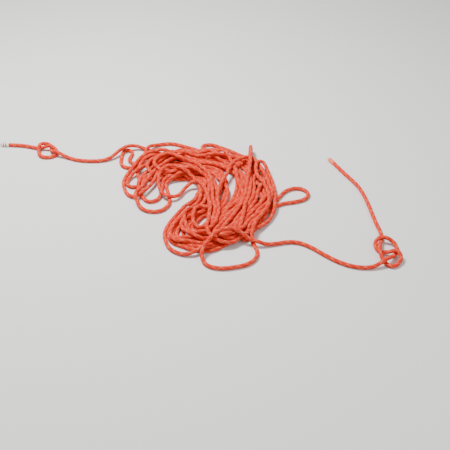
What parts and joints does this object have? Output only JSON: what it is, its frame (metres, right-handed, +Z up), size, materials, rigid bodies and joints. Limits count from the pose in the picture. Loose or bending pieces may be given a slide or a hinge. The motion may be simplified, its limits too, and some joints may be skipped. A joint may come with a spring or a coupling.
{
  "type": "dynamic climbing rope",
  "caption": "Dynamic kernmantle climbing rope lying in a loose horseshoe heap, its ends run out and tied in an overhand and a figure-eight knot.",
  "frame": {"origin": "on the ground under the heap, at the rest face", "axes": "+X to the right along the rope's spread, +Y away from the viewer, +Z up"},
  "size_m": [1.0699, 0.5023, 0.0401],
  "materials": {
    "sheath": "woven polyamide",
    "core": "plied polyamide yarn",
    "marker": "single yarn",
    "end_sleeve": "shrunk film",
    "end_seal": "melted polyamide"
  },
  "bodies": {
    "root": {"far_bight_core_strands": "core", "far_bight_marker_thread": "marker", "far_bight_sheath": "sheath", "inner_left_bight_core_strands": "core", "inner_left_bight_marker_thread": "marker", "inner_left_bight_sheath": "sheath", "left_end_seal": "end_seal", "left_end_sleeve": "end_sleeve", "left_knot_core_strands": "core", "left_knot_marker_thread": "marker", "left_knot_sheath": "sheath", "left_lead_core_strands": "core", "left_lead_marker_thread": "marker", "left_lead_sheath": "sheath", "left_tail_core_strands": "core", "left_tail_marker_thread": "marker", "left_tail_sheath": "sheath", "lower_left_bight_core_strands": "core", "lower_left_bight_marker_thread": "marker", "lower_left_bight_sheath": "sheath", "near_bight_core_strands": "core", "near_bight_marker_thread": "marker", "near_bight_sheath": "sheath", "near_left_bight_core_strands": "core", "near_left_bight_marker_thread": "marker", "near_left_bight_sheath": "sheath", "outer_turn_core_strands": "core", "outer_turn_marker_thread": "marker", "outer_turn_sheath": "sheath", "right_end_seal": "end_seal", "right_end_sleeve": "end_sleeve", "right_knot_core_strands": "core", "right_knot_marker_thread": "marker", "right_knot_sheath": "sheath", "right_lead_core_strands": "core", "right_lead_marker_thread": "marker", "right_lead_sheath": "sheath", "right_tail_core_strands": "core", "right_tail_marker_thread": "marker", "right_tail_sheath": "sheath", "rope_heap": "sheath", "side_bight_core_strands": "core", "side_bight_marker_thread": "marker", "side_bight_sheath": "sheath", "small_fold_core_strands": "core", "small_fold_marker_thread": "marker", "small_fold_sheath": "sheath"}
  },
  "joints": []
}
